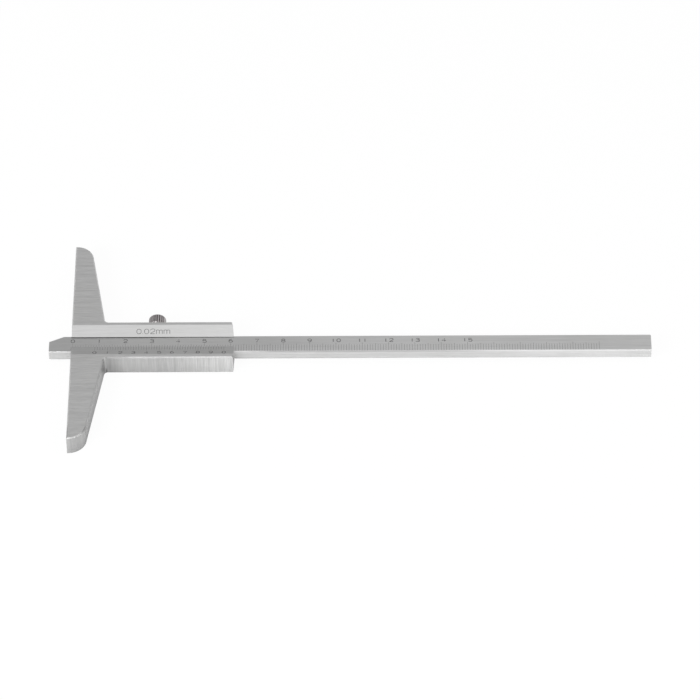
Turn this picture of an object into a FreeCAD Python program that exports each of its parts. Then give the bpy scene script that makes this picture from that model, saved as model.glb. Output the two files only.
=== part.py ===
import FreeCAD, Part
import math
import os

# Vernier depth gauge, 0 to 150 mm. Lengths are in millimetres.
# X runs along the beam with the measuring tip towards -X, Y runs along the base, Z is up.
# The origin is the point of the measuring face that meets the resting plane, on the beam's centre line.

# Base and slider: one T-shaped plate
plate_thickness = 8.4
base_length = 100.0
arm_root_width = 12.6
arm_tip_width = 6.1
arm_tip_radius = 6.6
slider_length = 61.8
slider_front = 8.95
slider_back = 9.72
slider_front_end = 61.45
slider_back_end = 60.95
corner_fillet = 1.4
top_edge_break = 0.45
bottom_edge_break = 0.15

# Beam, and where it stands when the gauge is put down
beam_length = 228.8
beam_width = 7.8
beam_thickness = 4.3
beam_edge_break = 0.12
tip_protrusion = 8.5
tip_bevel_length = 5.8
tip_bevel_depth = 2.75
beam_end_break = 0.4

# Reading window: a channel under two sloping faces, the vernier face in front
channel_gap = 0.03
roof_gap = 0.15
vernier_lip_reach = 1.8
vernier_lip_height = 0.2
vernier_face_edge = 7.18
back_lip_reach = 3.3
back_lip_height = 0.2
back_face_edge = 8.02

# Leaf spring and the pocket that a T-slot cutter leaves for it in the back wall
pocket_length = 38.0
pocket_height = 4.0
pocket_depth = 0.85
pocket_cutter_radius = 3.0
spring_length = 40.8
spring_width = 3.7
spring_thickness = 0.3
spring_gap = 0.03
spring_corner = 1.2

# Lock screw, standing half a turn slack, and the pad on its point
screw_x = 32.3
thread_radius = 1.5
thread_clearance = 0.05
thread_start = 6.1
slack_travel = 0.25
pad_clearance = 0.03
pad_radius = 1.2
pilot_radius = 1.25
pad_length = 1.3
pad_edge_break = 0.15
socket_radius = 0.75
socket_depth = 0.8
point_radius = 0.68
point_length = 0.92
point_end_gap = 0.02
collar_radius = 2.4
collar_start = 10.02
head_radius = 3.3
head_start = 10.4
head_length = 4.4
head_chamfer = 0.45
knurl_count = 22
knurl_depth = 0.32
knurl_crest_share = 0.4

base_half = base_length / 2
beam_bottom = (plate_thickness - beam_thickness) / 2
beam_top = beam_bottom + beam_thickness
beam_half = beam_width / 2
mid_height = plate_thickness / 2
channel_floor = beam_bottom - channel_gap
channel_roof = beam_top + roof_gap
channel_half = beam_half + channel_gap
pocket_wall = channel_half + pocket_depth


def point(x, y, z=0.0):
    return FreeCAD.Vector(x, y, z)


def line(start, end):
    return Part.LineSegment(start, end).toShape()


def arc(start, middle, end):
    return Part.Arc(start, middle, end).toShape()


def prism(edges, direction):
    """Close the edges into a face and push it along a direction."""
    return Part.Face(Part.Wire(edges)).extrude(direction)


def polygon(points):
    """Straight edges through the points and back to the first."""
    following = points[1:] + points[:1]
    return [line(a, b) for a, b in zip(points, following)]


def turned(profile, x):
    """Revolve (radius, distance along Y) points about the lock screw's axis."""
    points = [point(x + radius, y, mid_height) for radius, y in profile]
    face = Part.Face(Part.Wire(polygon(points)))
    return face.revolve(point(x, 0, mid_height), point(0, 1, 0), 360)


def arm_edge(y):
    """X of the tapered side of an arm at a distance y from the centre line."""
    slope = (arm_root_width - arm_tip_width) / (base_half - slider_back)
    return arm_tip_width + slope * (base_half - abs(y))


def plate_outline():
    """Plan of base and slider with square corners, anticlockwise from the measuring face."""
    front_end = point(slider_front_end, -slider_front)
    back_end = point(slider_back_end, slider_back)
    crown = point(slider_length, 0)
    front_side = [
        point(0, base_half),
        point(0, -base_half),
        point(arm_tip_width, -base_half),
        point(arm_edge(slider_front), -slider_front),
        front_end,
    ]
    back_side = [
        back_end,
        point(arm_edge(slider_back), slider_back),
        point(arm_tip_width, base_half),
        point(0, base_half),
    ]
    edges = [line(a, b) for a, b in zip(front_side, front_side[1:])]
    edges.append(arc(front_end, crown, back_end))
    edges += [line(a, b) for a, b in zip(back_side, back_side[1:])]
    return edges


def upright_edges_at(solid, corners):
    """The vertical edges of a solid that stand on the given plan points."""
    found = []
    for edge in solid.Edges:
        foot = edge.Vertexes[0].Point
        head = edge.Vertexes[-1].Point
        if abs(foot.z - head.z) < 0.1:
            continue
        if any(abs(foot.x - x) + abs(foot.y - y) < 0.01 for x, y in corners):
            found.append(edge)
    return found


def edges_at_height(solid, height):
    """The edges that lie in the level plane at a height."""
    level = []
    for edge in solid.Edges:
        box = edge.BoundBox
        if abs(box.ZMin - height) < 0.001 and abs(box.ZMax - height) < 0.001:
            level.append(edge)
    return level


def plate_blank():
    """The T-shaped plate before its window is cut."""
    blank = prism(plate_outline(), point(0, 0, plate_thickness))
    roots = [(arm_edge(slider_front), -slider_front), (arm_edge(slider_back), slider_back)]
    tips = [(arm_tip_width, -base_half), (arm_tip_width, base_half)]
    blank = blank.makeFillet(corner_fillet, upright_edges_at(blank, roots))
    blank = blank.makeFillet(arm_tip_radius, upright_edges_at(blank, tips))
    blank = blank.makeChamfer(bottom_edge_break, edges_at_height(blank, 0))
    return blank.makeChamfer(top_edge_break, edges_at_height(blank, plate_thickness))


def window_cutter():
    """Channel for the beam, opened upwards between the vernier face and the back face."""
    top = plate_thickness
    vernier_edge_z = channel_roof + vernier_lip_height
    back_edge_z = channel_roof + back_lip_height
    vernier_slope = (vernier_face_edge - vernier_lip_reach) / (top - vernier_edge_z)
    back_slope = (back_face_edge - back_lip_reach) / (top - back_edge_z)
    section = [
        (-vernier_face_edge - vernier_slope, top + 1),
        (-vernier_lip_reach, vernier_edge_z),
        (-vernier_lip_reach, channel_roof),
        (-channel_half, channel_roof),
        (-channel_half, channel_floor),
        (channel_half, channel_floor),
        (channel_half, channel_roof),
        (back_lip_reach, channel_roof),
        (back_lip_reach, back_edge_z),
        (back_face_edge + back_slope, top + 1),
    ]
    points = [point(-1, y, z) for y, z in section]
    return prism(polygon(points), point(slider_length + 2, 0, 0))


def pocket_cutter():
    """Closed pocket with the cutter's round ends, sunk into the channel's back wall."""
    y = pocket_wall - pocket_cutter_radius
    low = mid_height - pocket_height / 2
    start = screw_x - pocket_length / 2
    box = Part.makeBox(pocket_length, 2 * pocket_cutter_radius, pocket_height,
                       point(start, y - pocket_cutter_radius, low))
    for x in (start, start + pocket_length):
        end = Part.makeCylinder(pocket_cutter_radius, pocket_height, point(x, y, low))
        box = box.fuse(end)
    return box


def screw_hole():
    """Tapped hole from the back, with the pilot bore that guides the pad."""
    along = point(0, 1, 0)
    pilot = Part.makeCylinder(pilot_radius, thread_start, point(screw_x, 0, mid_height), along)
    thread = Part.makeCylinder(thread_radius, slider_back, point(screw_x, thread_start, mid_height), along)
    return pilot.fuse(thread)


def frame():
    return plate_blank().cut([window_cutter(), pocket_cutter(), screw_hole()])


def beam():
    """Graduated bar with a bevelled measuring tip."""
    left = -tip_protrusion
    right = left + beam_length
    plan = [
        point(left, -beam_half, beam_bottom),
        point(right - beam_end_break, -beam_half, beam_bottom),
        point(right, -beam_half + beam_end_break, beam_bottom),
        point(right, beam_half - beam_end_break, beam_bottom),
        point(right - beam_end_break, beam_half, beam_bottom),
        point(left + tip_bevel_length, beam_half, beam_bottom),
        point(left, beam_half - tip_bevel_depth, beam_bottom),
    ]
    bar = prism(polygon(plan), point(0, 0, beam_thickness))
    long_edges = [e for e in bar.Edges if e.BoundBox.XLength > beam_length / 2]
    return bar.makeChamfer(beam_edge_break, long_edges)


def leaf_spring():
    """Bowed strip: its ends rest on the beam, its middle lies against the pocket wall."""
    half = spring_length / 2
    crown_y = pocket_wall - spring_gap
    end_y = beam_half + spring_gap + spring_thickness
    low = mid_height - spring_width / 2
    outer = [point(screw_x - half, end_y, low), point(screw_x, crown_y, low), point(screw_x + half, end_y, low)]
    inner = [p - point(0, spring_thickness, 0) for p in outer]
    section = [
        arc(outer[0], outer[1], outer[2]),
        line(outer[2], inner[2]),
        arc(inner[2], inner[1], inner[0]),
        line(inner[0], outer[0]),
    ]
    strip = prism(section, point(0, 0, spring_width))
    ends = [e for e in strip.Edges if e.BoundBox.YLength > spring_thickness / 2
            and e.BoundBox.XLength < 0.001]
    return strip.makeFillet(spring_corner, ends)


def clamp_pad():
    """Brass pad with a blind socket for the screw's point."""
    front = pocket_wall - spring_gap + pad_clearance + slack_travel
    back = front + pad_length
    profile = [
        (0, front),
        (pad_radius - pad_edge_break, front),
        (pad_radius, front + pad_edge_break),
        (pad_radius, back - pad_edge_break),
        (pad_radius - pad_edge_break, back),
        (socket_radius, back),
        (socket_radius, back - socket_depth),
        (0, back - socket_depth),
    ]
    return turned(profile, screw_x)


def knurl_prism():
    """Straight knurl: a ring of V grooves between flat crests, along the screw's axis."""
    pitch = 2 * math.pi / knurl_count
    crest = pitch * knurl_crest_share / 2
    points = []
    for tooth in range(knurl_count):
        centre = tooth * pitch
        for angle, radius in ((centre - crest, head_radius), (centre + crest, head_radius),
                              (centre + pitch / 2, head_radius - knurl_depth)):
            points.append(point(screw_x + radius * math.cos(angle), head_start,
                                mid_height + radius * math.sin(angle)))
    return prism(polygon(points), point(0, head_length, 0))


def lock_screw():
    """Knurled head, collar, threaded shank and the point that turns in the pad."""
    pad_front = pocket_wall - spring_gap + pad_clearance + slack_travel
    point_end = pad_front + pad_length - socket_depth + point_end_gap
    shoulder = point_end + point_length
    shank_radius = thread_radius - thread_clearance
    head_end = head_start + head_length
    stem = turned([
        (0, point_end),
        (point_radius, point_end),
        (point_radius, shoulder),
        (shank_radius, shoulder),
        (shank_radius, collar_start),
        (collar_radius, collar_start),
        (collar_radius, head_start + head_chamfer),
        (0, head_start + head_chamfer),
    ], screw_x)
    rim = head_radius - head_chamfer
    head = turned([
        (0, head_start),
        (rim, head_start),
        (head_radius, head_start + head_chamfer),
        (head_radius, head_end - head_chamfer),
        (rim, head_end),
        (0, head_end),
    ], screw_x)
    return stem.fuse(head.common(knurl_prism())).removeSplitter()


nodes = {
    "frame": frame,
    "beam": beam,
    "leaf_spring": leaf_spring,
    "clamp_pad": clamp_pad,
    "lock_screw": lock_screw,
}

os.makedirs("parts", exist_ok=True)
for name, build in nodes.items():
    shape = build()
    if shape.ShapeType == "Compound" and len(shape.Solids) == 1:
        shape = shape.Solids[0]
    shape.exportStep("parts/" + name + ".step")
    print(name, "volume", round(shape.Volume, 1), "solids", len(shape.Solids), "valid", shape.isValid())
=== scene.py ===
import math

import bmesh
import bpy
from mathutils import Matrix, Vector


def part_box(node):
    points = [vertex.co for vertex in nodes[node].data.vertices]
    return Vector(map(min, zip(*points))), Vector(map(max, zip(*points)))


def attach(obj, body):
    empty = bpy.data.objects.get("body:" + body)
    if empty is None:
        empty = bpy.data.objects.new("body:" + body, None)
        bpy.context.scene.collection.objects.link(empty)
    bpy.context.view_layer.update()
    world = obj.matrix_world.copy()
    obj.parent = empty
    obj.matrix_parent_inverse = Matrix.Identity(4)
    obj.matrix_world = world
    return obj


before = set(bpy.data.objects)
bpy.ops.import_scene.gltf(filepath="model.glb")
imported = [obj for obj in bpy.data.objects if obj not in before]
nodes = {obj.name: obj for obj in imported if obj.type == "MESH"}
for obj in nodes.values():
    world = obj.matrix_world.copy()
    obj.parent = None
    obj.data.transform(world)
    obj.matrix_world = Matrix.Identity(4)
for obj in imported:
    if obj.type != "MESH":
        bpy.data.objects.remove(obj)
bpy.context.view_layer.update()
mm = 0.001

beamLow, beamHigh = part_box("beam")
screwLow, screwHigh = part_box("lock_screw")
screwMiddle = ((screwLow[0] + screwHigh[0]) / 2, 0, (screwLow[2] + screwHigh[2]) / 2)  # on its axis
print("frame loaded:", ", ".join(sorted(nodes)))


def addNode(tree, kind, place=(0, 0), **settings):
    node = tree.nodes.new(kind)
    node.location = place
    for key, value in settings.items():
        setattr(node, key, value)
    return node


# Each value is another node's output, which is linked, or a plain amount, which is set.
def feed(tree, sockets, values):
    for socket, value in zip(sockets, values):
        if isinstance(value, bpy.types.NodeSocket):
            tree.links.new(value, socket)
        else:
            socket.default_value = value


def calculate(tree, place, operation, *values, **settings):
    node = addNode(tree, "ShaderNodeMath", place, operation=operation, **settings)
    feed(tree, node.inputs, values)
    return node.outputs["Value"]


# A value between two limits, spread over two amounts. The node's sockets stand in this order.
def spread(tree, place, value, limits=(0.0, 1.0), amounts=(0.0, 1.0), kind="LINEAR"):
    node = addNode(tree, "ShaderNodeMapRange", place, interpolation_type=kind)
    feed(tree, node.inputs, (value, *limits, *amounts))
    return node.outputs["Result"]


def mixValues(tree, place, factor, first, second):
    mix = addNode(tree, "ShaderNodeMix", place)
    feed(tree, [mix.inputs[label] for label in ("Factor", "A", "B")], (factor, first, second))
    return mix.outputs["Result"]


# The colours are outputs or plain ones without their alpha.
def mixColours(tree, place, factor, first, second, blendType="MIX"):
    mix = addNode(tree, "ShaderNodeMix", place, data_type="RGBA", blend_type=blendType)
    colours = []
    for colour in (first, second):
        colours.append(colour if isinstance(colour, bpy.types.NodeSocket) else (*colour, 1.0))
    feed(tree, [mix.inputs[label] for label in ("Factor", "A", "B")], (factor, *colours))
    return mix.outputs["Result"]


def addNoise(tree, place, vector, scale, settings):
    noise = addNode(tree, "ShaderNodeTexNoise", place)
    feed(tree, [noise.inputs["Vector"], noise.inputs["Scale"]], (vector, scale))
    for label, value in settings.items():
        noise.inputs[label].default_value = value
    return noise.outputs["Fac"]


def newGroup(name, inputs, outputs):
    group = bpy.data.node_groups.new(name, "ShaderNodeTree")
    for label, kind, value in inputs:
        socket = group.interface.new_socket(name=label, in_out="INPUT", socket_type=kind)
        if value is not None:
            socket.default_value = value
    for label, kind in outputs:
        group.interface.new_socket(name=label, in_out="OUTPUT", socket_type=kind)
    start = addNode(group, "NodeGroupInput", (-900, 0)).outputs
    end = addNode(group, "NodeGroupOutput", (700, 0)).inputs
    return group, start, end


linesLook = {
    "fine": {"Detail": 3.0, "Roughness": 0.65},
    "broad": {"Detail": 2.0},
    "limits": (0.32, 0.68),     # of the noise, which then fills the whole shade
}


# Long parallel scratches left by a grinding wheel. The vector is stretched along them beforehand.
def makeGrindingLines(look):
    group, start, end = newGroup(
        "grindingLines",
        [("Vector", "NodeSocketVector", None), ("Fine Scale", "NodeSocketFloat", 1.0),
         ("Broad Scale", "NodeSocketFloat", 0.2), ("Broad Share", "NodeSocketFloat", 0.4)],
        [("Shade", "NodeSocketFloat"), ("Height", "NodeSocketFloat")])
    fine = addNoise(group, (-600, 150), start["Vector"], start["Fine Scale"], look["fine"])
    broad = addNoise(group, (-600, -150), start["Vector"], start["Broad Scale"], look["broad"])
    blend = mixValues(group, (-350, 0), start["Broad Share"], fine, broad)
    shade = spread(group, (-100, 0), blend, look["limits"])
    feed(group, [end["Shade"], end["Height"]], (shade, fine))
    return group


wornLook = {
    "samples": 6,
    "turned": (0.995, 0.80),    # how alike the two normals are where wear begins and where it is full
    "chips": {"Detail": 3.0},
    "chipLimits": (0.30, 0.60),
    "leastChipped": 0.35,
}


# Where corners have been rubbed bright: the bevelled normal turns away from the true one.
def makeEdgeWear(look):
    group, start, end = newGroup(
        "edgeWear",
        [("Vector", "NodeSocketVector", None), ("Radius", "NodeSocketFloat", 0.0003),
         ("Amount", "NodeSocketFloat", 1.0), ("Breakup Scale", "NodeSocketFloat", 400.0)],
        [("Mask", "NodeSocketFloat")])
    bevel = addNode(group, "ShaderNodeBevel", (-650, 150), samples=look["samples"])
    geometry = addNode(group, "ShaderNodeNewGeometry", (-650, -50))
    group.links.new(start["Radius"], bevel.inputs["Radius"])
    alike = addNode(group, "ShaderNodeVectorMath", (-450, 100), operation="DOT_PRODUCT")
    feed(group, alike.inputs, (bevel.outputs["Normal"], geometry.outputs["Normal"]))
    turned = spread(group, (-250, 100), alike.outputs["Value"], look["turned"])
    chips = addNoise(group, (-450, -150), start["Vector"], start["Breakup Scale"], look["chips"])
    broken = spread(group, (-250, -150), chips, look["chipLimits"], (look["leastChipped"], 1.0))
    both = calculate(group, (0, 0), "MULTIPLY", turned, broken)
    mask = calculate(group, (200, 0), "MULTIPLY", both, start["Amount"], use_clamp=True)
    group.links.new(mask, end["Mask"])
    return group


filmLook = {
    "patches": {"Detail": 2.0},
    "patchLimits": (0.35, 0.65),
    "spotLimits": (0.16, 0.05),     # how far from its middle a spot begins and is full
}


# The thin uneven film of oil that handling leaves: large soft patches with a few small spots.
def makeOilFilm(look):
    group, start, end = newGroup(
        "oilFilm",
        [("Vector", "NodeSocketVector", None), ("Patch Scale", "NodeSocketFloat", 60.0),
         ("Spot Scale", "NodeSocketFloat", 700.0)],
        [("Patches", "NodeSocketFloat"), ("Spots", "NodeSocketFloat")])
    patches = addNoise(group, (-600, 150), start["Vector"], start["Patch Scale"], look["patches"])
    soft = spread(group, (-300, 150), patches, look["patchLimits"])
    spots = addNode(group, "ShaderNodeTexVoronoi", (-600, -150))
    feed(group, [spots.inputs["Vector"], spots.inputs["Scale"]], (start["Vector"], start["Spot Scale"]))
    small = spread(group, (-300, -150), spots.outputs["Distance"], look["spotLimits"])
    feed(group, [end["Patches"], end["Spots"]], (soft, small))
    return group


grindingLines = makeGrindingLines(linesLook)
edgeWear = makeEdgeWear(wornLook)
oilFilm = makeOilFilm(filmLook)


# A shared effect in a material, with its own values by their names.
def placeGroup(tree, group, place, vector, values):
    node = addNode(tree, "ShaderNodeGroup", place, node_tree=group)
    tree.links.new(vector, node.inputs["Vector"])
    for label, value in values.items():
        feed(tree, [node.inputs[label]], [value])
    return node.outputs


def stretched(tree, coordinates, place, scale, centre=(0, 0, 0)):
    mapping = addNode(tree, "ShaderNodeMapping", place, vector_type="POINT")
    mapping.inputs["Scale"].default_value = scale
    mapping.inputs["Location"].default_value = [-middle * factor for middle, factor in zip(centre, scale)]
    tree.links.new(coordinates, mapping.inputs["Vector"])
    return mapping.outputs["Vector"]


def splitVector(tree, place, vector):
    split = addNode(tree, "ShaderNodeSeparateXYZ", place)
    tree.links.new(vector, split.inputs["Vector"])
    return split.outputs


def startMaterial(name, metallic=1.0):
    material = bpy.data.materials.new(name)
    material.use_nodes = True
    tree = material.node_tree
    tree.nodes.clear()
    output = addNode(tree, "ShaderNodeOutputMaterial", (900, 0))
    shader = addNode(tree, "ShaderNodeBsdfPrincipled", (600, 0))
    shader.inputs["Metallic"].default_value = metallic
    tree.links.new(shader.outputs["BSDF"], output.inputs["Surface"])
    coordinates = addNode(tree, "ShaderNodeTexCoord", (-1300, 0)).outputs["Object"]
    return material, tree, shader, coordinates


def addBump(tree, shader, height, look):
    bump = addNode(tree, "ShaderNodeBump", (300, -350))
    bump.inputs["Strength"].default_value = look["bumpStrength"]
    bump.inputs["Distance"].default_value = look["bumpDepth"]
    tree.links.new(height, bump.inputs["Height"])
    tree.links.new(bump.outputs["Normal"], shader.inputs["Normal"])


# A value that changes smoothly along one axis. A ramp is its start and end in metres and the
# amounts there.
def rampAlong(tree, axis, place, ramp):
    return spread(tree, place, axis, ramp[:2], ramp[2:], "SMOOTHSTEP")


# Several such values multiplied together.
def rampsAlong(tree, axis, place, ramps):
    column, row = place
    total = rampAlong(tree, axis, place, ramps[0])
    for count, ramp in enumerate(ramps[1:], 1):
        nextRow = row + 60 * count
        part = rampAlong(tree, axis, (column, nextRow), ramp)
        total = calculate(tree, (column + 200, nextRow), "MULTIPLY", total, part)
    return total


evenRamp = (0.0, 1.0, 1.0, 1.0)     # changes nothing
middleShade = 0.5


# The lines' shade drawn nearer to or further from its middle.
def contrasted(tree, shade, place, contrast):
    centred = calculate(tree, place, "SUBTRACT", shade, middleShade)
    return calculate(tree, (place[0] + 100, place[1]), "MULTIPLY_ADD", centred, contrast, middleShade)


def scaledColour(tree, place, colour, amount):
    node = addNode(tree, "ShaderNodeVectorMath", place, operation="SCALE")
    feed(tree, [node.inputs["Vector"], node.inputs["Scale"]], (colour, amount))
    return node.outputs["Vector"]


faceLook = {
    "sidewaysShare": 0.3,           # how much facing along X adds to facing up
    "upwardFrom": 0.8,
    "levelLimits": (0.97, 0.99),    # these three are lengths of the normal along Z
    "tiltedLimits": (0.2, 0.5),
    "bevelledLimits": (0.9, 0.8),
}


# Masks of the kinds of faces. Chamfers that face along X count as upward, the ones along the
# front as sides.
def sortFaces(tree, look):
    geometry = addNode(tree, "ShaderNodeNewGeometry", (-1050, -250))
    normal = splitVector(tree, (-850, -250), geometry.outputs["True Normal"])
    upright = calculate(tree, (-680, -250), "ABSOLUTE", normal["Z"])
    sideways = calculate(tree, (-680, -400), "ABSOLUTE", normal["X"])
    turnedUp = calculate(tree, (-600, -300), "MULTIPLY_ADD", sideways, look["sidewaysShare"], upright)
    return {
        "upward": calculate(tree, (-520, -250), "GREATER_THAN", turnedUp, look["upwardFrom"]),
        "level": spread(tree, (-520, -400), upright, look["levelLimits"]),
        "tilted": spread(tree, (-520, -550), upright, look["tiltedLimits"]),
        "bevelled": spread(tree, (-350, -550), upright, look["bevelledLimits"]),
    }


# Painted shade in narrow corners, such as where the beam meets the window's lips, found by ambient
# occlusion, and a painted shadow in one spot at the foot of the front fillet.
def gatherDirt(tree, coordinates, position, look):
    hollow = addNode(tree, "ShaderNodeAmbientOcclusion", (-1050, -900), samples=look["shadeSamples"])
    hollow.inputs["Distance"].default_value = look["shadeReach"]
    tight = spread(tree, (-800, -900), hollow.outputs["AO"], look["shadeLimits"])
    along = rampAlong(tree, position["X"], (-900, -1100), look["shadeSpread"])
    across = rampAlong(tree, position["Y"], (-900, -1250), look["shadeAcross"])
    share = calculate(tree, (-700, -1000), "MULTIPLY", along, across)
    cornerShade = calculate(tree, (-600, -900), "MULTIPLY", tight, share, use_clamp=True)
    scale = [1 / reach for reach in look["footShadowReach"]]
    away = addNode(tree, "ShaderNodeVectorMath", (-800, -1400), operation="LENGTH")
    feed(tree, away.inputs, [stretched(tree, coordinates, (-1050, -1400), scale, look["footShadowSpot"])])
    amounts = (0.0, look["footShadowAmount"])
    footShadow = spread(tree, (-600, -1400), away.outputs["Value"], look["footShadowLimits"], amounts)
    return calculate(tree, (-400, -1000), "MAXIMUM", cornerShade, footShadow)


# Painted light and shade on the faces that look up, level, sloping and bevelled ones: ramps along X and Y
# make their colour lighter or darker, and dim the highlights on the chamfers at the arm's end and at the
# front fillet's corner.
def polishUpward(tree, position, kinds, look):
    x, y = position["X"], position["Y"]
    inFront = calculate(tree, (-800, 2000), "LESS_THAN", y, 0.0)
    frontRamps = rampsAlong(tree, x, (-800, 2150), look["frontSlopeLightRamps"])
    frontSlope = mixValues(tree, (-500, 2000), inFront, 1.0, frontRamps)
    slopeRamps = rampsAlong(tree, x, (-800, 1500), look["slopeLightRamps"])
    slopes = calculate(tree, (-500, 1500), "MULTIPLY", slopeRamps, frontSlope)
    flats = rampsAlong(tree, x, (-800, 1250), look["flatLightRamps"])
    faces = mixValues(tree, (-350, 1300), kinds["level"], slopes, flats)

    pastArms = calculate(tree, (-1600, 1900), "GREATER_THAN", x, look["filletStart"])
    filletRamps = rampsAlong(tree, y, (-1600, 2000), look["filletShadeAcross"])
    fillet = mixValues(tree, (-1200, 1900), pastArms, 1.0, filletRamps)
    armEnd = rampAlong(tree, y, (-1200, 1700), look["armEndShadeRamp"])
    ends = calculate(tree, (-1000, 1700), "MULTIPLY", armEnd, fillet)
    edgeRamps = rampsAlong(tree, x, (-800, 1800), look["upperEdgeLightRamps"])
    edges = calculate(tree, (-350, 1650), "MULTIPLY", edgeRamps, ends)
    bevels = mixValues(tree, (-200, 1550), kinds["bevelled"], 1.0, edges)
    return calculate(tree, (-50, 1400), "MULTIPLY", faces, bevels)


# Painted light and shade on the sides: ramps along X lighten and darken the walls, which are painted darker
# towards their foot, their chamfers, and a band if there is one.
def polishSides(tree, position, kinds, look):
    x, z = position["X"], position["Z"]
    band = 1.0
    if "bandLightRamps" in look:
        inBand = spread(tree, (-1100, 1200), z, look["bandHeights"])
        bandRamps = rampsAlong(tree, x, (-1300, 1100), look["bandLightRamps"])
        band = mixValues(tree, (-700, 1100), inBand, 1.0, bandRamps)
    chamfers = rampsAlong(tree, x, (-1100, 1000), look["chamferLightRamps"])
    edges = mixValues(tree, (-450, 900), kinds["tilted"], band, chamfers)
    wallRamps = rampsAlong(tree, x, (-750, 700), look["sideLightRamps"])
    foot = rampAlong(tree, z, (-750, 800), look["footShadeRamp"])
    walls = calculate(tree, (-500, 750), "MULTIPLY", wallRamps, foot)
    return calculate(tree, (-350, 750), "MULTIPLY", walls, edges)


# Ground steel: wheel marks run along X on the upward faces, and on the sides as sideStretch
# draws them out.
def makeGroundSteel(name, look):
    material, tree, shader, coordinates = startMaterial(name)
    position = splitVector(tree, (-1050, 700), coordinates)
    kinds = sortFaces(tree, faceLook)
    marks = {"Broad Scale": look["broadScale"], "Broad Share": look["broadShare"]}
    flatVector = stretched(tree, coordinates, (-1050, 300), look["flatStretch"])
    flatLines = placeGroup(tree, grindingLines, (-800, 300), flatVector, marks)
    sideVector = stretched(tree, coordinates, (-1050, 50), look["sideStretch"])
    sideLines = placeGroup(tree, grindingLines, (-800, 50), sideVector, marks)
    shade = mixValues(tree, (-520, 200), kinds["upward"], sideLines["Shade"], flatLines["Shade"])
    height = mixValues(tree, (-520, 0), kinds["upward"], sideLines["Height"], flatLines["Height"])
    film = placeGroup(tree, oilFilm, (-800, -450), coordinates, {})
    wear = placeGroup(tree, edgeWear, (-800, -650), coordinates, {
        "Radius": look["wearRadius"],
        "Amount": rampAlong(tree, position["X"], (-1050, -650), look["wearAndHighlightSpread"])})
    paintedShading = gatherDirt(tree, coordinates, position, look)

    flatContrast = spread(tree, (-350, -400), kinds["level"], amounts=(look["slopeContrast"], 1.0))
    flatShade = contrasted(tree, flatLines["Shade"], (-700, 500), flatContrast)
    sideContrast = rampAlong(tree, position["X"], (-800, 900), look["sideContrast"])
    sideShade = contrasted(tree, sideLines["Shade"], (-700, 350), sideContrast)
    flatGrain = mixColours(tree, (-450, 500), flatShade, look["lowColour"], look["highColour"])
    sideGrain = mixColours(tree, (-450, 350), sideShade, look["sideLow"], look["sideHigh"])
    flatLitGrain = scaledColour(tree, (-250, 1000), flatGrain, polishUpward(tree, position, kinds, look))
    sideLitGrain = scaledColour(tree, (-250, 600), sideGrain, polishSides(tree, position, kinds, look))
    grain = mixColours(tree, (-200, 400), kinds["upward"], sideLitGrain, flatLitGrain)
    filmed = mixColours(tree, (-100, 250), film["Patches"], grain, look["filmColour"], "MULTIPLY")
    # the worn colour on the edges is partly real wear and partly a painted highlight along them
    rubbed = mixColours(tree, (50, 250), wear["Mask"], filmed, look["wornColour"])
    # painted shade in the narrow corners and the painted shadow at the fillet's foot
    shadedColour = mixColours(tree, (200, 250), paintedShading, rubbed, look["paintedShadeColour"])
    tree.links.new(shadedColour, shader.inputs["Base Color"])

    limits = (look["roughness"] + look["roughnessSwing"], look["roughness"] - look["roughnessSwing"])
    rough = spread(tree, (-100, -100), shade, amounts=limits)
    patchy = calculate(tree, (100, -100), "MULTIPLY_ADD", film["Patches"], look["filmRoughness"], rough)
    polished = mixValues(tree, (300, -100), wear["Mask"], patchy, look["wornRoughness"])
    tree.links.new(polished, shader.inputs["Roughness"])
    addBump(tree, shader, height, look)
    return material


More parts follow.
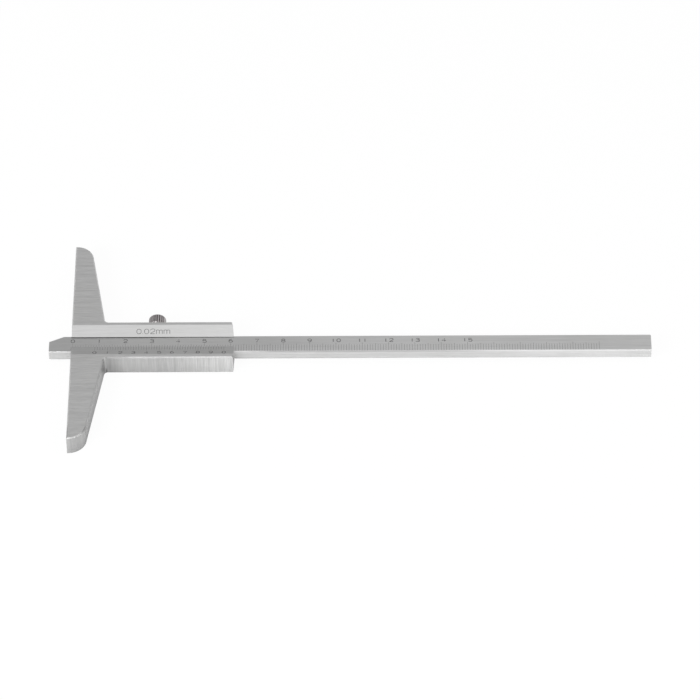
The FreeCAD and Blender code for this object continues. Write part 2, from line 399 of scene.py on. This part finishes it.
# The ramps run along X, but for those that name another axis. Lengths are in metres.
plateLook = {
    "lowColour": (0.56, 0.56, 0.56),
    "highColour": (0.78, 0.78, 0.78),
    # The sides are darker than the upward faces: painted shade.
    "sideLow": (0.38, 0.38, 0.38),
    "sideHigh": (0.60, 0.60, 0.60),
    # The ramps named for light and shade scale the colour along the part: painted light and shade.
    "flatLightRamps": [(0.015, 0.030, 1.0, 0.975), (0.050, 0.056, 1.0, 1.03)],
    "slopeLightRamps": [(0.012, 0.060, 1.05, 1.12)],
    "frontSlopeLightRamps": [(0.038, 0.050, 1.0, 0.93)],  # on the vernier's face alone
    "chamferLightRamps": [(0.008, 0.013, 1.28, 0.60), (0.017, 0.026, 1.0, 1.55), (0.040, 0.055, 1.0, 0.95)],
    "upperEdgeLightRamps": [(0.0122, 0.0135, 1.0, 0.55), (0.030, 0.050, 1.0, 1.8)],
    "armEndShadeRamp": (-0.046, -0.042, 0.62, 1.0),    # along Y: painted shade over the highlight on the chamfer at the arm's end
    "filletStart": 0.010,           # along X, so that the measuring face's edge is left alone
    "filletShadeAcross": [(-0.0107, -0.0101, 1.0, 0.75), (-0.0089, -0.0087, 1.0, 1 / 0.75)],  # along Y: painted shade over the glint at the front fillet's corner
    "sideLightRamps": [(0.0, 0.003, 1.06, 0.885), (0.006, 0.014, 1.0, 1.136), (0.0104, 0.0114, 1.0, 1.05),
                   (0.0128, 0.0140, 1.0, 1.02), (0.020, 0.0295, 1.0, 0.92), (0.032, 0.058, 1.0, 1.29)],
    "footShadeRamp": (0.0, 0.006, 0.90, 1.03),         # along Z: painted shade, darker towards the foot
    "sideContrast": (0.014, 0.040, 0.6, 1.1),
    "slopeContrast": 0.45,          # how strong the lines stay on the sloping faces of the window
    "filmColour": (0.96, 0.96, 0.955),
    "wornColour": (0.80, 0.80, 0.80),
    # painted shade: darkens narrow corners and the spot at the front fillet's foot
    "paintedShadeColour": (0.10, 0.10, 0.10),
    "roughness": 0.36,
    "roughnessSwing": 0.04,
    "filmRoughness": 0.04,
    "wornRoughness": 0.22,
    "flatStretch": (260.0, 5200.0, 5200.0),     # wheel marks about 0.2 mm apart and 5 mm long
    "sideStretch": (5600.0, 5600.0, 110.0),     # upright ones
    "broadScale": 0.22,
    "broadShare": 0.35,
    "wearRadius": 0.00015,
    "wearAndHighlightSpread": (0.012, 0.045, 0.2, 0.7),
    "shadeSamples": 8,
    "shadeReach": 0.0005,
    "shadeLimits": (0.92, 0.60),    # how open a corner is where the painted shade begins and where it is full
    "shadeSpread": (0.014, 0.055, 1.3, 0.05),
    "shadeAcross": (-0.001, 0.002, 0.5, 1.0),   # along Y: less of it at the front lip
    "footShadowSpot": (0.0134, -0.0090, 0.0011),      # painted shadow at the foot of the front fillet
    "footShadowReach": (0.00036, 0.0012, 0.0018),
    "footShadowLimits": (1.0, 0.3),   # shares of the reach where the painted shadow begins and where it is full
    "footShadowAmount": 0.62,
    "bumpStrength": 0.13,
    "bumpDepth": 0.000004,
}
groundSteel = makeGroundSteel("groundSteel", plateLook)

beamLook = dict(plateLook)
beamLook.update({
    "lowColour": (0.55, 0.55, 0.55),
    "highColour": (0.69, 0.69, 0.69),
    "sideLow": (0.57, 0.57, 0.57),
    "sideHigh": (0.70, 0.70, 0.70),
    # Painted light and shade along the bar, as on the frame.
    "flatLightRamps": [(0.005, 0.035, 0.92, 0.99), (0.072, 0.098, 1.0, 1.08), (0.145, 0.185, 1.0, 0.905)],
    "chamferLightRamps": [(0.066, 0.080, 1.0, 0.74), (0.112, 0.160, 1.0, 1.5), (0.165, 0.190, 1.0, 0.8)],
    "upperEdgeLightRamps": [evenRamp],
    "sideLightRamps": [(-0.004, 0.060, 1.03, 0.96), (0.070, 0.220, 1.0, 1.175), (0.185, 0.200, 1.0, 1.04),
                   (0.208, 0.214, 1.0, 0.965)],
    "footShadeRamp": evenRamp,
    # a band of painted highlight and shade under each side's upper edge
    "bandLightRamps": [(0.063, 0.078, 1.13, 0.79), (0.135, 0.175, 1.0, 1.5)],
    "bandHeights": (0.0055, 0.0057),    # where the narrow band of painted highlight and shade under a side's upper edge begins
    "sideContrast": evenRamp,
    "roughness": 0.34,
    "flatStretch": (90.0, 6500.0, 6500.0),
    "sideStretch": (90.0, 5200.0, 5200.0),  # the bar is ground lengthwise on every face
    "wearRadius": 0.00018,
    "wearAndHighlightSpread": (0.0, 0.18, 0.5, 1.0),
    "shadeSpread": (0.0, 0.05, 1.0, 0.1),
    "footShadowAmount": 0.0,
    "bumpStrength": 0.2,
})
beamSteel = makeGroundSteel("beamSteel", beamLook)


# Turned and knurled steel: rings about the screw's axis, darker in the flutes, bright crests.
def makeScrewSteel(name, look):
    material, tree, shader, coordinates = startMaterial(name)
    rings = addNode(tree, "ShaderNodeTexWave", (-800, 300), wave_type="RINGS", rings_direction="Y")
    for label, value in look["rings"].items():
        rings.inputs[label].default_value = value
    centred = stretched(tree, coordinates, (-1050, 300), (1, 1, 1), screwMiddle)
    tree.links.new(centred, rings.inputs["Vector"])
    film = placeGroup(tree, oilFilm, (-800, 0), coordinates, look["film"])
    wear = placeGroup(tree, edgeWear, (-800, -250), coordinates, look["wear"])
    hollow = addNode(tree, "ShaderNodeAmbientOcclusion", (-800, -450), samples=look["fluteSamples"],
                     only_local=True)
    hollow.inputs["Distance"].default_value = look["fluteDepth"]
    openness = spread(tree, (-550, -450), hollow.outputs["AO"], look["fluteLimits"])
    turned = mixColours(tree, (-400, 300), rings.outputs["Fac"], look["lowColour"], look["highColour"])
    filmed = mixColours(tree, (-200, 300), film["Patches"], turned, look["filmColour"], "MULTIPLY")
    darkened = mixColours(tree, (0, 300), openness, look["fluteColour"], filmed)
    rubbed = mixColours(tree, (200, 300), wear["Mask"], darkened, look["wornColour"])
    rough = spread(tree, (0, -100), openness, amounts=(look["fluteRoughness"], look["roughness"]))
    feed(tree, [shader.inputs["Base Color"], shader.inputs["Roughness"]], (rubbed, rough))
    addBump(tree, shader, rings.outputs["Fac"], look)
    return material


screwLook = {
    "lowColour": (0.435, 0.413, 0.416),
    "highColour": (0.555, 0.531, 0.534),
    "filmColour": (0.92, 0.905, 0.91),
    "fluteColour": (0.13, 0.12, 0.12),
    "wornColour": (0.68, 0.67, 0.67),
    "roughness": 0.40,
    "fluteRoughness": 0.54,
    "rings": {"Scale": 1400.0, "Distortion": 1.5, "Detail": 2.0},
    "film": {"Patch Scale": 240.0},
    "wear": {"Radius": 0.00012, "Amount": 0.3, "Breakup Scale": 900.0},
    "fluteSamples": 8,
    "fluteDepth": 0.0006,
    "fluteLimits": (0.35, 0.85),    # how open a flute is where it is darkest and where it keeps the steel's own colour
    "bumpStrength": 0.3,
    "bumpDepth": 0.00001,
}
screwSteel = makeScrewSteel("screwSteel", screwLook)


# Soft yellow metals inside: rolled or turned marks with a light tarnish.
def makeYellowMetal(name, look):
    material, tree, shader, coordinates = startMaterial(name)
    vector = stretched(tree, coordinates, (-1050, 200), look["stretch"])
    lines = placeGroup(tree, grindingLines, (-800, 200), vector, {})
    film = placeGroup(tree, oilFilm, (-800, -100), coordinates, look["film"])
    wear = placeGroup(tree, edgeWear, (-800, -350), coordinates, look["wear"])
    marks = mixColours(tree, (-400, 200), lines["Shade"], look["lowColour"], look["highColour"])
    tarnished = mixColours(tree, (-200, 200), film["Patches"], marks, look["tarnish"], "MULTIPLY")
    rubbed = mixColours(tree, (0, 200), wear["Mask"], tarnished, look["wornColour"])
    rough = spread(tree, (0, -100), film["Patches"], amounts=(look["roughness"], look["dullRoughness"]))
    feed(tree, [shader.inputs["Base Color"], shader.inputs["Roughness"]], (rubbed, rough))
    addBump(tree, shader, lines["Height"], look)
    return material


brassLook = {
    "lowColour": (0.66, 0.50, 0.24),
    "highColour": (0.80, 0.64, 0.34),
    "tarnish": (0.86, 0.80, 0.70),
    "wornColour": (0.88, 0.74, 0.44),
    "roughness": 0.28,
    "dullRoughness": 0.43,
    "stretch": (900.0, 9000.0, 900.0),
    "film": {"Patch Scale": 400.0},
    "wear": {"Radius": 0.0001, "Amount": 0.7, "Breakup Scale": 1500.0},
    "bumpStrength": 0.3,
    "bumpDepth": 0.000005,
}
padBrass = makeYellowMetal("padBrass", brassLook)

bronzeLook = dict(brassLook)
bronzeLook.update({
    "lowColour": (0.60, 0.40, 0.24),
    "highColour": (0.76, 0.55, 0.36),
    "tarnish": (0.84, 0.76, 0.68),
    "wornColour": (0.84, 0.66, 0.46),
    "roughness": 0.24,
    "dullRoughness": 0.39,
    "stretch": (150.0, 5000.0, 5000.0),
})
springBronze = makeYellowMetal("springBronze", bronzeLook)


# Matt black paint rubbed into the graduations, worn a little grey.
def makeEngravingPaint(name, look):
    material, tree, shader, coordinates = startMaterial(name, metallic=0.0)
    film = placeGroup(tree, oilFilm, (-800, 100), coordinates, look["film"])
    paint = mixColours(tree, (-300, 100), film["Patches"], look["dark"], look["faded"])

    # the lines near the zero have lost paint to the sliding, the numbers on both sides of them have not
    position = splitVector(tree, (-1050, 500), coordinates)
    front, back = look["linesAcross"]
    onLines = calculate(tree, (-800, 450), "COMPARE", position["Y"], (front + back) / 2, (back - front) / 2)
    along = rampAlong(tree, position["X"], (-800, 650), look["wornAlong"])
    worn = calculate(tree, (-500, 500), "MULTIPLY", along, onLines)
    colour = mixColours(tree, (0, 200), worn, paint, look["bare"])
    rough = spread(tree, (-300, -150), film["Spots"], amounts=(look["roughness"], look["spotRoughness"]))
    feed(tree, [shader.inputs["Base Color"], shader.inputs["Roughness"]], (colour, rough))
    return material


paintLook = {
    "dark": (0.07, 0.07, 0.072),
    "faded": (0.12, 0.12, 0.12),
    "bare": (0.38, 0.38, 0.38),
    "roughness": 0.55,
    "spotRoughness": 0.75,
    "film": {"Patch Scale": 500.0, "Spot Scale": 3000.0},
    "wornAlong": (0.0, 0.055, 0.5, 0.05),
    "linesAcross": (-0.0047, 0.0004),   # along Y, over the vernier's lines and the bar's
}
engravingPaint = makeEngravingPaint("engravingPaint", paintLook)

finishes = {
    "frame": groundSteel,
    "beam": beamSteel,
    "lock_screw": screwSteel,
    "clamp_pad": padBrass,
    "leaf_spring": springBronze,
}
for node, material in finishes.items():
    slots = nodes[node].data.materials
    slots.clear()
    slots.append(material)
print("materials made:", len(bpy.data.materials))


# Open stroke ends are closed here, so that every end cap shares its corners with its stroke.
def finishPiece(mesh, name, material, body):
    bmesh.ops.holes_fill(mesh, edges=[edge for edge in mesh.edges if edge.is_boundary])
    bmesh.ops.recalc_face_normals(mesh, faces=mesh.faces)
    data = bpy.data.meshes.new(name)
    mesh.to_mesh(data)
    mesh.free()
    data.materials.append(material)
    piece = bpy.data.objects.new(name, data)
    bpy.context.scene.collection.objects.link(piece)
    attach(piece, body)


# A thin bar of paint lying on a plane, which maps (along X, out from the plane's edge, up) to
# the frame.
def addMark(mesh, plane, x, start, end, width, depth):
    size = Matrix.Diagonal((width, end - start, depth, 1.0))
    place = Matrix.Translation((x, (start + end) / 2, 0))
    bmesh.ops.create_cube(mesh, size=1.0, matrix=plane @ place @ size)


# Engraver's characters: a width and the strokes, each with its corners. Round strokes are smooth
# splines over their corners, and a ring is a closed one. The digits are one unit high.
characters = {
    "0": (0.86, [("ring", (0, 0), (0, 1), (0.86, 1), (0.86, 0))]),
    "1": (0.0, [("line", (0, 0), (0, 1))]),
    "2": (0.86, [("round", (0.02, 0.72), (0.02, 1.02), (0.86, 1.06), (0.86, 0.5), (0.3, 0.34), (0, 0)),
                 ("line", (0, 0), (0.86, 0))]),
    "3": (0.86, [("round", (0.04, 0.9), (0.3, 1.02), (0.84, 1.02), (0.84, 0.54), (0.32, 0.54)),
                 ("round", (0.3, 0.54), (0.88, 0.54), (0.88, -0.02), (0.26, -0.02), (0, 0.12))]),
    "4": (0.9, [("line", (0.66, 0), (0.66, 1), (0, 0.28), (0.9, 0.28))]),
    "5": (0.86, [("line", (0.8, 1), (0.12, 1), (0.05, 0.52)),
                 ("round", (0.05, 0.52), (0.24, 0.64), (0.88, 0.66), (0.88, -0.02), (0.24, -0.02),
                  (0, 0.12))]),
    "6": (0.86, [("ring", (0, 0), (0, 0.6), (0.86, 0.6), (0.86, 0)),
                 ("round", (0.02, 0.32), (0.02, 0.68), (0.3, 1), (0.72, 1))]),
    "7": (0.84, [("line", (0, 1), (0.84, 1), (0.3, 0))]),
    "8": (0.86, [("ring", (0.05, 0.54), (0.05, 1), (0.81, 1), (0.81, 0.54)),
                 ("ring", (0, 0), (0, 0.53), (0.86, 0.53), (0.86, 0))]),
    "9": (0.86, [("ring", (0, 0.4), (0, 1), (0.86, 1), (0.86, 0.4)),
                 ("round", (0.84, 0.68), (0.84, 0.32), (0.56, 0), (0.14, 0))]),
    ".": (0.0, [("line", (0, 0), (0, 0.1))]),
    "m": (1.16, [("line", (0, 0), (0, 0.78)),
                 ("round", (0, 0.6), (0, 0.8), (0.58, 0.8), (0.58, 0.55), (0.58, 0)),
                 ("round", (0.58, 0.6), (0.58, 0.8), (1.16, 0.8), (1.16, 0.55), (1.16, 0))]),
}


penLook = {
    "order": 3,                 # of the smooth strokes
    "steps": 5,                 # between two corners of a smooth stroke
    "roundness": 1,             # of a stroke's section
}


def addStroke(curve, kind, corners, shift, size):
    spline = curve.splines.new("POLY" if kind == "line" else "NURBS")
    spline.points.add(len(corners) - 1)
    for point, (across, up) in zip(spline.points, corners):
        point.co = (shift + across * size, up * size, 0, 1)
    if kind == "ring":
        spline.use_cyclic_u = True
    if kind != "line":
        spline.order_u = penLook["order"]
        spline.use_endpoint_u = kind == "round"


# Words stand centred at x with their feet at foot, on the plane. Their strokes lie half sunk in it.
def addWord(mesh, plane, word, x, foot, look):
    curve = bpy.data.curves.new("word", "CURVE")
    curve.dimensions = "3D"
    curve.resolution_u = penLook["steps"]
    curve.bevel_depth = look["stroke"] / 2
    curve.bevel_resolution = penLook["roundness"]
    size = look["height"]
    cells = [look.get("cell", characters[letter][0] * size) for letter in word]
    shift = -(sum(cells) + look["gap"] * (len(word) - 1)) / 2
    for letter, cell in zip(word, cells):
        inset = (cell - characters[letter][0] * size) / 2
        for kind, *corners in characters[letter][1]:
            addStroke(curve, kind, corners, shift + inset, size)
        shift += cell + look["gap"]
    holder = bpy.data.objects.new("word", curve)
    bpy.context.scene.collection.objects.link(holder)
    shown = holder.evaluated_get(bpy.context.evaluated_depsgraph_get())
    data = bpy.data.meshes.new_from_object(shown)
    bpy.data.objects.remove(holder)
    bpy.data.curves.remove(curve)
    flat = Matrix.Diagonal((1, 1, look["depth"] / look["stroke"], 1))
    data.transform(plane @ Matrix.Translation((x, foot, 0)) @ flat)
    mesh.from_mesh(data)
    bpy.data.meshes.remove(data)


# A sloping plane on the frame and its reach: its origin is on one edge, and its second axis
# runs to the far one.
def slopedPlane(edge, far):
    across = (Vector((0, *far)) - Vector((0, *edge))) * mm
    along = across.normalized()
    up = Vector((1, 0, 0)).cross(along)
    turn = Matrix(((1, 0, 0), tuple(along), tuple(up))).transposed().to_4x4()
    return Matrix.Translation(Vector((0, *edge)) * mm) @ turn, across.length


scaleLook = {
    "zero": 0.49 * mm,          # where the zero line stands with the gauge at rest
    "lastLine": 200,
    "lastNumber": 15,
    "lineWidth": 0.09 * mm,
    "lineDepth": 0.02 * mm,
    "lineStart": 0.15 * mm,     # in from the bar's front edge
    "shortEnd": 3.23 * mm,
    "middleEnd": 3.73 * mm,
    "longEnd": 4.18 * mm,
    "numberFoot": 4.59 * mm,
    "height": 1.57 * mm,        # between the middles of the strokes
    "cell": 1.37 * mm,          # every digit takes this width, the narrow 1 as well
    "gap": 0.68 * mm,
    "stroke": 0.275 * mm,
    "depth": 0.02 * mm,
}


def makeBeamScale(look):
    plane = Matrix.Translation((0, beamLow[1], beamHigh[2]))
    lines = bmesh.new()
    for step in range(look["lastLine"] + 1):
        end = look["shortEnd"]
        if step % 10 == 0:
            end = look["longEnd"]
        elif step % 5 == 0:
            end = look["middleEnd"]
        addMark(lines, plane, look["zero"] + step * mm, look["lineStart"], end,
                look["lineWidth"], look["lineDepth"])
    finishPiece(lines, "beamScaleLines", engravingPaint, "beam")
    numbers = bmesh.new()
    for number in range(look["lastNumber"] + 1):
        addWord(numbers, plane, str(number), look["zero"] + number * 10 * mm, look["numberFoot"], look)
    finishPiece(numbers, "beamScaleNumbers", engravingPaint, "beam")


makeBeamScale(scaleLook)
print("beam scale done")

vernierLook = {
    "zero": 8.99 * mm,
    "spacing": 0.98 * mm,       # 50 divisions over 49 mm
    "divisions": 50,
    "innerEdge": (-1.8, 6.7),   # Y and Z of the sloping face's two edges, in mm
    "outerEdge": (-7.18, 8.4),
    "lineWidth": 0.09 * mm,
    "lineDepth": 0.02 * mm,
    "lineStart": 0.05 * mm,     # this and the two ends are measured from the inner edge
    "shortEnd": 2.23 * mm,
    "longEnd": 2.9 * mm,
    "numberFoot": 0.46 * mm,    # up from the outer edge
    "height": 1.52 * mm,
    "gap": 0.68 * mm,
    "stroke": 0.28 * mm,
    "depth": 0.02 * mm,
}


# Lines and numbers read from the front, so their plane runs from the outer edge up to the inner one.
def makeVernier(look):
    plane, reach = slopedPlane(look["outerEdge"], look["innerEdge"])
    lines = bmesh.new()
    for step in range(look["divisions"] + 1):
        length = look["longEnd"] if step % 5 == 0 else look["shortEnd"]
        addMark(lines, plane, look["zero"] + step * look["spacing"], reach - length,
                reach - look["lineStart"], look["lineWidth"], look["lineDepth"])
    finishPiece(lines, "vernierLines", engravingPaint, "frame")
    numbers = bmesh.new()
    for count in range(look["divisions"] // 5 + 1):
        addWord(numbers, plane, str(count % 10), look["zero"] + count * 5 * look["spacing"],
                look["numberFoot"], look)
    finishPiece(numbers, "vernierNumbers", engravingPaint, "frame")


makeVernier(vernierLook)

legendLook = {
    "word": "0.02mm",
    "centre": 31.0 * mm,
    "lowerEdge": (3.3, 6.7),    # Y and Z of the back sloping face's two edges, in mm
    "upperEdge": (8.02, 8.4),
    "foot": 1.3 * mm,
    "height": 1.93 * mm,
    "gap": 0.62 * mm,
    "stroke": 0.2 * mm,
    "depth": 0.02 * mm,
}


def makeLegend(look):
    plane, _ = slopedPlane(look["lowerEdge"], look["upperEdge"])
    words = bmesh.new()
    addWord(words, plane, look["word"], look["centre"], look["foot"], look)
    finishPiece(words, "resolutionLegend", engravingPaint, "frame")


makeLegend(legendLook)
print("vernier and legend done")


threadLook = {
    "pitch": 0.5 * mm,
    "start": 6.75 * mm,     # along Y, just behind the shank's shoulder
    "end": 9.7 * mm,
    "foot": 1.40 * mm,      # these radii leave the ridge standing out of the shank, clear of the hole
    "crest": 1.485 * mm,
    "footWidth": 0.30 * mm,
    "crestWidth": 0.08 * mm,
    "steps": 40,            # around each turn
}


# The lock screw's right-hand thread: a ridge spun about the screw's axis while it moves along it.
def makeThread(look):
    centre = Vector(screwMiddle)
    mesh = bmesh.new()
    corners = []
    for radius, side in ((look["foot"], -look["footWidth"]), (look["crest"], -look["crestWidth"]),
                         (look["crest"], look["crestWidth"]), (look["foot"], look["footWidth"])):
        corners.append(mesh.verts.new(centre + Vector((radius, look["start"] + side / 2, 0))))
    profile = mesh.faces.new(corners)
    turns = (look["end"] - look["start"]) / look["pitch"]
    steps = round(turns * look["steps"])
    bmesh.ops.spin(mesh, geom=[profile, *profile.edges, *profile.verts], cent=centre, axis=(0, 1, 0),
                   dvec=(0, look["pitch"] / look["steps"], 0), angle=turns * math.tau, steps=steps)
    finishPiece(mesh, "screwThread", screwSteel, "lock_screw")


makeThread(threadLook)
print("thread done")


floorLook = {
    "halfSize": 4.0,
    "height": -0.05 * mm,       # a hair below the gauge, so that no two faces share a plane
    "colour": (0.9, 0.9, 0.9),
    "whiteShare": {"Is Camera Ray": 0.95, "Is Glossy Ray": 0.15, "Is Transmission Ray": 0.8},
}


# A pale floor that is plain white to the rays named in whiteShare, each by its share.
def makeFloor(look):
    mesh = bmesh.new()
    bmesh.ops.create_grid(mesh, x_segments=1, y_segments=1, size=look["halfSize"])
    data = bpy.data.meshes.new("floor")
    mesh.to_mesh(data)
    mesh.free()
    floor = bpy.data.objects.new("floor", data)
    bpy.context.scene.collection.objects.link(floor)
    material = bpy.data.materials.new("floorWhite")
    material.use_nodes = True
    tree = material.node_tree
    tree.nodes.clear()
    output = addNode(tree, "ShaderNodeOutputMaterial", (600, 0))
    diffuse = addNode(tree, "ShaderNodeBsdfDiffuse", (0, 100))
    diffuse.inputs["Color"].default_value = (*look["colour"], 1)
    white = addNode(tree, "ShaderNodeEmission", (0, -100))
    white.inputs["Strength"].default_value = 1.0
    path = addNode(tree, "ShaderNodeLightPath", (-700, 0))
    share = 0.0
    for label, amount in look["whiteShare"].items():
        share = calculate(tree, (-400, 100), "MULTIPLY_ADD", path.outputs[label], amount, share)
    mix = addNode(tree, "ShaderNodeMixShader", (300, 0))
    feed(tree, mix.inputs, (share, diffuse.outputs["BSDF"], white.outputs["Emission"]))
    tree.links.new(mix.outputs["Shader"], output.inputs["Surface"])
    data.materials.append(material)
    floor.location.z = look["height"]


makeFloor(floorLook)

skyLook = {
    "brightSide": (0.1, -0.5, 0.86),
    "darkFrom": -0.36,
    "brightFrom": 1.0,
    "curve": 1.7,
    "darkLevel": 0.43,
    "brightLevel": 1.26,
}


# A sky that is brightest towards one side, and white behind the gauge.
def makeSky(look):
    world = bpy.data.worlds.new("studio")
    bpy.context.scene.world = world
    world.use_nodes = True
    tree = world.node_tree
    tree.nodes.clear()
    output = addNode(tree, "ShaderNodeOutputWorld", (700, 0))
    direction = addNode(tree, "ShaderNodeTexCoord", (-900, 0)).outputs["Generated"]
    towards = addNode(tree, "ShaderNodeVectorMath", (-650, 0), operation="DOT_PRODUCT")
    feed(tree, towards.inputs, (direction, Vector(look["brightSide"]).normalized()))
    ramp = spread(tree, (-450, 0), towards.outputs["Value"], (look["darkFrom"], look["brightFrom"]))
    bent = calculate(tree, (-300, 0), "POWER", ramp, look["curve"])
    level = spread(tree, (-150, 0), bent, amounts=(look["darkLevel"], look["brightLevel"]))
    soft = addNode(tree, "ShaderNodeBackground", (0, 100))
    tree.links.new(level, soft.inputs["Strength"])
    white = addNode(tree, "ShaderNodeBackground", (0, -100))
    path = addNode(tree, "ShaderNodeLightPath", (0, 350))
    mix = addNode(tree, "ShaderNodeMixShader", (400, 0))
    feed(tree, mix.inputs, (path.outputs["Is Camera Ray"], soft.outputs["Background"],
                            white.outputs["Background"]))
    tree.links.new(mix.outputs["Shader"], output.inputs["Surface"])


makeSky(skyLook)

lampTarget = (0.12, 0, 0)
lampLooks = {
    "frontLeftLamp": {"place": (-0.5, -0.6, 0.5), "size": (0.5, 0.4), "power": 6.3},
    "frontRightLamp": {"place": (0.5, -0.25, 0.35), "size": (0.5, 0.3), "power": 0.52},
    "backRightLamp": {"place": (0.75, 1.0, 1.05), "size": (1.0, 0.8), "power": 1.36},
}


def addSoftLamp(name, target, look):
    data = bpy.data.lights.new(name, "AREA")
    data.shape = "RECTANGLE"
    data.size, data.size_y = look["size"]
    data.energy = look["power"]
    lamp = bpy.data.objects.new(name, data)
    lamp.location = look["place"]
    lamp.rotation_euler = (Vector(target) - Vector(look["place"])).to_track_quat("-Z", "Y").to_euler()
    bpy.context.scene.collection.objects.link(lamp)


for name, look in lampLooks.items():
    addSoftLamp(name, lampTarget, look)

cameraLook = {
    "target": (0.10582, -0.0014, 0.004),
    "distance": 1.761,
    "elevation": 46.85,         # this and the roll in degrees
    "roll": -0.226,
    "lens": 238.27,             # this and the sensor in millimetres
    "sensorWidth": 36.0,
    "clipStart": 0.05,
    "clipEnd": 30.0,
}


def makeCamera(look):
    elevation = math.radians(look["elevation"])
    roll = math.radians(look["roll"])
    forward = Vector((0, math.cos(elevation), -math.sin(elevation)))
    right = Vector((1, 0, 0))
    up = right.cross(forward)
    tiltedRight = right * math.cos(roll) + up * math.sin(roll)
    tiltedUp = up * math.cos(roll) - right * math.sin(roll)
    data = bpy.data.cameras.new("camera")
    data.sensor_fit = "HORIZONTAL"
    data.sensor_width = look["sensorWidth"]
    data.lens = look["lens"]
    data.clip_start = look["clipStart"]
    data.clip_end = look["clipEnd"]
    camera = bpy.data.objects.new("camera", data)
    turn = Matrix((tiltedRight, tiltedUp, -forward)).transposed().to_4x4()
    place = Vector(look["target"]) - forward * look["distance"]
    camera.matrix_world = Matrix.Translation(place) @ turn
    bpy.context.scene.collection.objects.link(camera)
    bpy.context.scene.camera = camera


makeCamera(cameraLook)
bpy.context.scene.view_settings.view_transform = "Standard"
print("stage, lamps and camera done")
